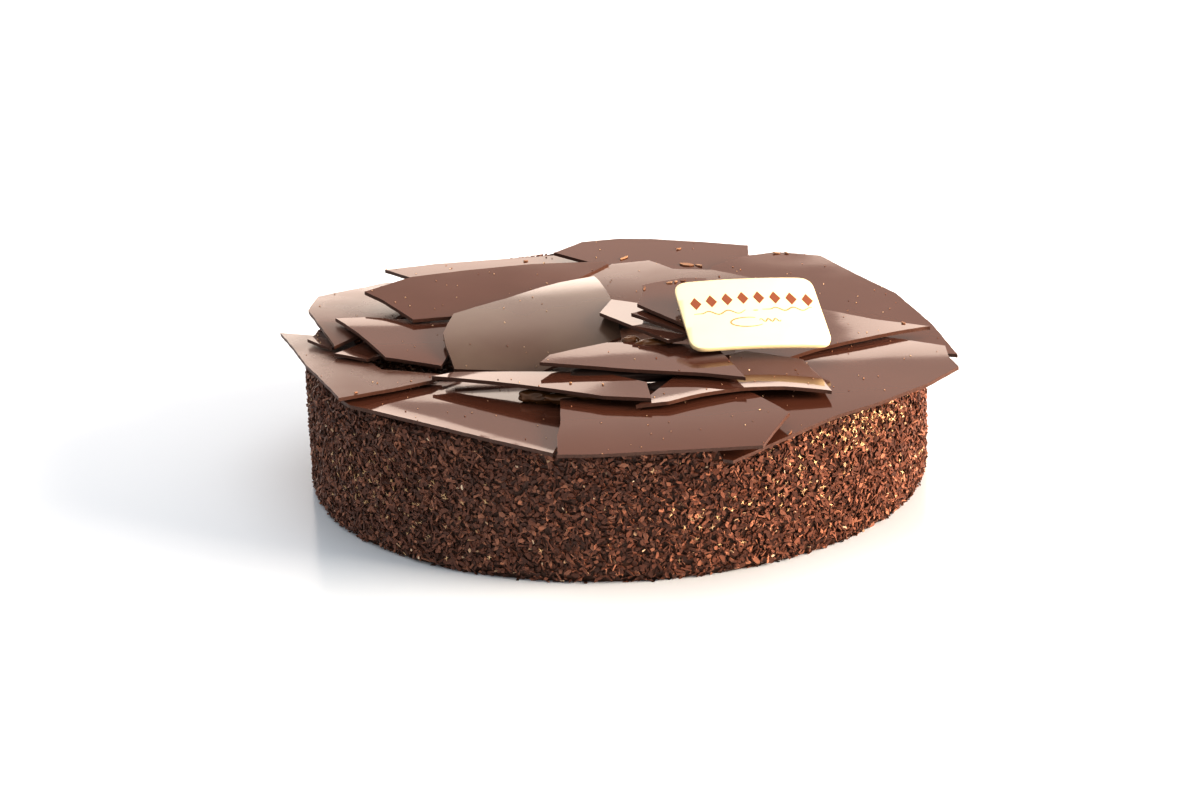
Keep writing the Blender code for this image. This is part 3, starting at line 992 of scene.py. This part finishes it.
# Name, shape, variants, about how many, finish, tilt in degrees, sizes, stand out in mm, seed.
flake_pieces = [
    scatter("flakes_broad", broad_flake, 6, 9800, FLAKE, 27, (0.65, 1.3), (0.2, 1.1), 21),
    scatter("flakes_strands", strand, 4, 12000, FLAKE, 34, (0.7, 1.3), (0.1, 1.0), 22),
    scatter("flakes_slivers", sliver, 5, 13000, FLAKE, 32, (0.7, 1.3), (0.1, 1.1), 27),
    scatter("flakes_curls", curl, 4, 1200, FLAKE, 45, (0.6, 1.0), (0.0, 0.8), 23),
    scatter("flakes_crumbs", crumb, 5, 7000, FLAKE, 90, (0.4, 1.0), (0.1, 0.7), 24),
    # Pale flakes that stand out from the coat as painted glints: painted highlight.
    scatter("flakes_pale", broad_flake, 5, 460, PAINTED_GLINT_FLAKE, 50, (0.4, 0.8), (0.6, 1.2), 25),
    # Pale glaze shreds, densest on the lamp-lit right front: partly painted highlight.
    scatter("glaze_web", web, 6, 17000, PALE_GLAZE_AND_HIGHLIGHT, 24, (0.6, 1.3), (0.5, 1.2), 26, "glazed"),
]
drop_masks(core)
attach(core, "root")
for piece in [core] + flake_pieces:
    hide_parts("cake_body")

# %% [markdown]
# ## Glaze, and ganache darkened as painted shade, under the plates
# The confectioner set some plates in a spoonful of apricot glaze, and it shows as brown jelly under two of
# them. Under the topmost front plate lie ganache lumps coloured near black, far darker than the ganache on
# the drum: painted shade that blackens the gap below the plate. A few rounded lumps pulled out of shape by
# noise are enough, as only their front sides are seen.

# %% Dabs of glaze, and of ganache darkened as painted shade
# Middle and half sizes in mm.
GLAZE_DABS = [((-24.0, -68.0, 49.6), (6.5, 3.4, 2.6)), ((-14.0, -72.6, 50.2), (9.0, 3.2, 2.0)),
              ((-8.5, -76.5, 52.6), (6.5, 2.6, 1.5)), ((4.6, -40.6, 55.6), (3.2, 2.6, 3.2)),
              ((11.5, -44.0, 57.0), (6.0, 2.6, 1.6))]
# Ganache lumps coloured near black under the front plates: painted shade for the gaps there.
GANACHE_AND_SHADE_DABS = [((8.0, -61.5, 54.0), (22.0, 6.0, 2.7)), ((14.0, -70.0, 51.6), (5.0, 4.0, 1.6))]
DAB_PULL = 0.22
DAB_LUMPS = 1.7


def dabs(places):
    """Rounded lumps, each with its middle and its three half sizes in mm."""
    made = bmesh.new()
    for middle, halves in places:
        lump = bmesh.ops.create_icosphere(made, subdivisions=4, radius=1.0)["verts"]
        for corner in lump:
            pull = 1.0 + DAB_PULL * noise.noise(corner.co * DAB_LUMPS + Vector(middle))
            corner.co = (Vector(middle) + corner.co * pull * Vector(halves)) * MM
    return made


# The spooned ganache is far darker than the ganache on the drum: painted shade.
DAB_KINDS = {"glaze_dabs": (GLAZE_DABS, glaze("apricot_glaze_in_a_lump", ("#38210F", "#6B4626"))),
             "ganache_dabs": (GANACHE_AND_SHADE_DABS, ganache("dark_ganache_spooned", ("#1C100B", "#2A1911")))}
for name, (places, finish) in DAB_KINDS.items():
    lumps = new_piece(name, dabs(places))
    lumps.data.materials.append(finish)
    lumps.data.shade_smooth()
    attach(lumps, "root")
    print(name, triangles(lumps), "triangles")

# %% [markdown]
# ## Crumbs and splinters
# Snapping and piling the plates left crumbs on them: specks under a millimetre nearly everywhere, and a few
# longer splinters where two plates rubbed. The specks are scattered by the flakes' own tree, this time over
# the tops of the plates. The splinters lie where the photographed cake has them, dropped on whatever is
# below.

# %% Crumbs over the plates
CRUMB_TONES = [(0.0, "#6A4232"), (0.5, "#A88468"), (1.0, "#D6BC9C")]
CRUMBS_PER_METRE = 8000
CRUMB = shaved_chocolate("snapped_couverture_crumbs", CRUMB_TONES, 0.5)


def plate_tops():
    """The upper faces of all the plates, as one mesh."""
    made = bmesh.new()
    for plate in plates:
        made.from_mesh(plate.data)
    others = [face for face in made.faces if face.material_index or face.normal.z < RIM_SLOPE]
    bmesh.ops.delete(made, geom=others, context="FACES")
    return made


crumbs = new_piece("plate_crumbs", plate_tops())
crumbs.data.attributes.new("everywhere", "FLOAT", "POINT").data.foreach_set(
    "value", [1.0] * len(crumbs.data.vertices))
crumb_shapes = shapes_of("plate_crumbs", crumb, 5, random.Random(31))
run_tree(crumbs, flake_tree("plate crumbs tree", CRUMB), {
    "Shapes": crumb_shapes, "Where": "everywhere", "Per square metre": CRUMBS_PER_METRE, "Share on wall": 0.0,
    "Share on top": 1.0, "Inner radius": 0.0, "Tilt": math.radians(90), "Least size": 0.15, "Most size": 0.55,
    "Least stand": 0.05 * MM, "Most stand": 0.15 * MM, "Seed": 32})
drop_shapes(crumb_shapes)
drop_masks(crumbs)
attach(crumbs, "root")
print("crumbs:", triangles(crumbs), "triangles")

# %% Splinters where plates rubbed
# Place, length and width in mm, and turn in degrees.
SPLINTERS = [(4.5, 73.5, 4.2, 0.9, 35), (23.7, 80.0, 2.2, 0.8, 20), (26.0, 66.6, 6.0, 2.0, -20),
             (30.2, 65.6, 3.4, 1.2, -45), (18.0, -12.2, 2.0, 0.7, 10), (20.0, -11.6, 1.8, 0.8, 60),
             (22.4, -11.2, 2.2, 0.7, -15), (9.8, -16.4, 2.6, 0.8, 80), (-14.5, -71.6, 0.9, 0.9, 75),
             (-4.6, -75.0, 0.8, 0.6, 20), (57.0, 67.0, 2.6, 0.8, 15), (60.5, 66.4, 2.2, 0.7, -30),
             (92.5, -18.6, 1.4, 0.9, 40), (103.5, -31.0, 2.0, 0.8, 70), (-81.0, -61.5, 1.6, 0.6, -35),
             (50.8, -100.5, 2.4, 0.5, 60), (-30.0, 81.0, 1.8, 0.7, 25)]
SPLINTER_RISE = 0.25 * MM
SPLINTER_DEPTH = 0.35 * MM
DROP_FROM_MM = 100.0


def plate_faces():
    """Corners and faces of all the plates together."""
    corners, faces = [], []
    for plate in plates:
        first = len(corners)
        corners += [corner.co.copy() for corner in plate.data.vertices]
        faces += [[first + index for index in face.vertices] for face in plate.data.polygons]
    return corners, faces


def splinters(chance):
    """Long chips lying on the plates, each with its place, length and width in mm and its turn in degrees."""
    ground = BVHTree.FromPolygons(*plate_faces())
    made = bmesh.new()
    made.verts.layers.float.new("tone")
    for x, y, length, width, turn in SPLINTERS:
        place, slope, _, _ = ground.ray_cast(Vector((x, y, DROP_FROM_MM)) * MM, Vector((0.0, 0.0, -1.0)))
        outline = chip_outline(chance, 7, length * MM, width * MM)
        chip = prism(outline, SPLINTER_DEPTH, chance.uniform(0, 40))
        lift = Matrix.Translation(place + slope * SPLINTER_RISE)
        lean = slope.to_track_quat("Z", "Y").to_matrix().to_4x4()
        spin = Matrix.Rotation(math.radians(turn), 4, "Z")
        tip = Matrix.Rotation(chance.uniform(-0.2, 0.2), 4, "Y")
        chip.transform(lift @ lean @ spin @ tip)
        mesh = bpy.data.meshes.new("splinter")
        chip.to_mesh(mesh)
        chip.free()
        before = len(made.verts)
        made.from_mesh(mesh)
        bpy.data.meshes.remove(mesh)
        made.verts.ensure_lookup_table()
        brown = chance.uniform(0.1, 0.6)
        for corner in made.verts[before:]:
            corner[made.verts.layers.float["tone"]] = brown
    return made


splinter_piece = new_piece("splinters", splinters(random.Random(33)))
splinter_piece.data.materials.append(CRUMB)
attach(splinter_piece, "root")
print("splinters:", triangles(splinter_piece), "triangles")

# %% [markdown]
# ## The ivory tag
# The tag is white chocolate cast about one and a half millimetres thick, with rounded corners, bowed a
# little and printed in cocoa butter. It is made the way the plates are, but its outline is smoothed instead
# of bitten.

# %% Make the tag
TAG_THICKNESS = 1.4 * MM
TAG_EDGE = 0.15 * MM
TAG_SMOOTHING = 1
TAG_CELL = 2.0 * MM
TAG_RIPPLE_HEIGHT = 0.1 * MM
TAG_RIPPLE_WIDTH = 18.0 * MM
TAG_SHARP_FROM = math.radians(50)


def ivory_chocolate():
    """White chocolate: milky and satin, nearly even in tone."""
    made, tree, shader, place = new_finish("cast_white_chocolate")
    mottle(tree, shader, place, 9.0, 3.0, ("#DFD1A9", "#E7D9B1"), 0.04)
    shader.inputs["Roughness"].default_value = 0.38
    shader.inputs["IOR"].default_value = 1.46
    return made


def rounded(corners):
    """An outline in small steps, smoothed so that its corners are round."""
    points = []
    for start, end in zip(corners, corners[1:] + corners[:1]):
        steps = max(1, round((Vector(end) - Vector(start)).length / EDGE_STEP))
        points += [Vector(start).lerp(Vector(end), step / steps) for step in range(steps)]
    for _ in range(TAG_SMOOTHING):
        points = [(points[place - 1] + 2 * point + points[(place + 1) % len(points)]) / 4
                  for place, point in enumerate(points)]
    return points


TAG_FINISH = ivory_chocolate()
tag_corners = top_outline("white_tag")
tag_middle, tag_bend = fitted_bend(tag_corners)
tag_values = bend_inputs(tag_middle, tag_bend)
tag_values.update({"Ripple height": TAG_RIPPLE_HEIGHT, "Ripple width": TAG_RIPPLE_WIDTH, "Seed": 5.0})
tag = new_piece("ivory_tag", cut_sheet(rounded(tag_corners), TAG_CELL))
run_tree(tag, PLATE_TREE, tag_values)
thicken(tag, TAG_THICKNESS, TAG_EDGE)
tag.data.materials.clear()
tag.data.materials.append(TAG_FINISH)
tag.data.shade_smooth()
tag.data.set_sharp_from_angle(angle=TAG_SHARP_FROM)
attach(tag, "root")
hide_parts("white_tag")
print("tag:", triangles(tag), "triangles")

# %% [markdown]
# Cocoa butter coloured reddish brown is printed on the tag from a transfer sheet: a row of lozenges, a
# drawn-out flourish and a scroll. A picture could be mapped on, but a print made as a thin skin keeps sharp
# edges at any distance. Geometry Nodes repeat the lozenge, and the plates' own tree lays the flat print on
# the tag's bend.

# %% Print the tag
TAG_MIDDLE = Vector((43.0, -41.5, 0.0)) * MM
TAG_TURN = math.radians(8.0)
PRINT_SKIN = 0.12 * MM
PRINT_RISE = 0.05 * MM
ROW_COUNT = 8
# In mm: where the row starts, one step, how far its middle rises, a lozenge's corners and a stroke's width.
ROW_START = (-17.0, 5.4)
ROW_STEP = (5.1, 0.0)
ROW_RISE = 1.6
LOZENGE = [(-1.7, 0.3), (-0.3, -3.1), (1.8, -0.4), (0.1, 3.1)]
HAIR_WIDTH = 0.42


def cocoa_butter(name, colour):
    """Coloured cocoa butter: a thin even print with a soft shine."""
    made, tree, shader, place = new_finish(name)
    patchy = add_node(tree, "ShaderNodeTexNoise", {"Vector": place, "Scale": grain(1.5), "Detail": 2.0})
    fade = add_node(tree, "ShaderNodeMapRange",
                    {"Value": patchy.outputs["Fac"], "To Min": 0.3, "To Max": 0.45})
    tree.links.new(fade.outputs["Result"], shader.inputs["Roughness"])
    shader.inputs["Base Color"].default_value = linear(colour)
    return made


def row_tree():
    """Repeats a shape along a line, each time a little higher towards the middle of the row."""
    tree, given = new_tree("printed row",
                           {"Count": "Int", "Start": "Vector", "Step": "Vector", "Rise": "Float"})
    line = add_node(tree, "GeometryNodeMeshLine",
                    {"Count": given["Count"], "Start Location": given["Start"], "Offset": given["Step"]},
                    mode="OFFSET")
    index = add_node(tree, "GeometryNodeInputIndex").outputs[0]
    last = add_node(tree, "ShaderNodeMath", {0: given["Count"], 1: 1.0}, operation="SUBTRACT").outputs[0]
    along = add_node(tree, "ShaderNodeMath", {0: index, 1: last}, operation="DIVIDE").outputs[0]
    angle = add_node(tree, "ShaderNodeMath", {0: along, 1: math.pi}, operation="MULTIPLY").outputs[0]
    arch = add_node(tree, "ShaderNodeMath", {0: angle}, operation="SINE").outputs[0]
    rise = add_node(tree, "ShaderNodeMath", {0: arch, 1: given["Rise"]}, operation="MULTIPLY").outputs[0]
    lift = add_node(tree, "ShaderNodeCombineXYZ", {"Y": rise}).outputs[0]
    arched = add_node(tree, "GeometryNodeSetPosition", {"Geometry": line.outputs["Mesh"], "Offset": lift})
    copies = add_node(tree, "GeometryNodeInstanceOnPoints",
                      {"Points": arched.outputs["Geometry"], "Instance": given["Geometry"]})
    return end_tree(tree, copies.outputs["Instances"], RED_PRINT)


def ribbon(sheet, points):
    """A thin flat line through points in mm, tapered to its ends."""
    points = [Vector((x, y, 0.0)) * MM for x, y in points]
    pairs = []
    for place, point in enumerate(points):
        run = points[min(place + 1, len(points) - 1)] - points[max(place - 1, 0)]
        side = Vector((-run.y, run.x, 0.0)).normalized()
        share = 0.45 + 0.55 * math.sin(math.pi * place / (len(points) - 1))
        reach = side * 0.5 * HAIR_WIDTH * MM * share
        pairs.append((sheet.verts.new(point - reach), sheet.verts.new(point + reach)))
    for (low, high), (next_low, next_high) in zip(pairs, pairs[1:]):
        sheet.faces.new((low, next_low, next_high, high))


def flourish():
    """Two wavy strokes with a dash between them, and a scroll below."""
    sheet = bmesh.new()
    ribbon(sheet, [(-18.5 + 0.5 * step, 0.2 - 0.9 * math.sin(0.5 * step) * (step > 6)) for step in range(34)])
    ribbon(sheet, [(0.4 + 0.4 * step, 0.5) for step in range(5)])
    ribbon(sheet, [(3.4 + 0.5 * step, 0.9 - 0.8 * math.sin(0.55 * step) * (step > 5)) for step in range(33)])
    turns = [math.radians(60 + 8 * step) for step in range(34)]
    ribbon(sheet, [(-2.4 + 5.4 * math.cos(turn), -5.2 + 2.3 * math.sin(turn)) for turn in turns])
    ribbon(sheet, [(1.4 + 0.4 * step, -4.6 + 0.8 * math.sin(1.1 * step)) for step in range(18)])
    return sheet


def print_on_tag(piece, finish):
    """Turns a flat print to the tag's heading, lays it on the tag and gives it its skin."""
    piece.data.transform(Matrix.Translation(TAG_MIDDLE) @ Matrix.Rotation(TAG_TURN, 4, "Z"))
    values = dict(tag_values)
    values["Height"] += PRINT_RISE
    run_tree(piece, PLATE_TREE, values)
    wall = piece.modifiers.new("skin", "SOLIDIFY")
    wall.thickness = PRINT_SKIN
    wall.offset = -1.0
    freeze(piece)
    piece.data.materials.clear()
    piece.data.materials.append(finish)
    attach(piece, "root")
    print(piece.name, triangles(piece), "triangles")


RED_PRINT = cocoa_butter("red_cocoa_butter", "#81482C")
TAN_PRINT = cocoa_butter("tan_cocoa_butter", "#8F6C40")
lozenge = bmesh.new()
lozenge.faces.new([lozenge.verts.new((x * MM, y * MM, 0.0)) for x, y in LOZENGE])
row = new_piece("tag_print_row", lozenge)
run_tree(row, row_tree(), {
    "Count": ROW_COUNT, "Start": (ROW_START[0] * MM, ROW_START[1] * MM, 0.0),
    "Step": (ROW_STEP[0] * MM, ROW_STEP[1] * MM, 0.0), "Rise": ROW_RISE * MM})
print_on_tag(row, RED_PRINT)
print_on_tag(new_piece("tag_print_flourish", flourish()), TAN_PRINT)
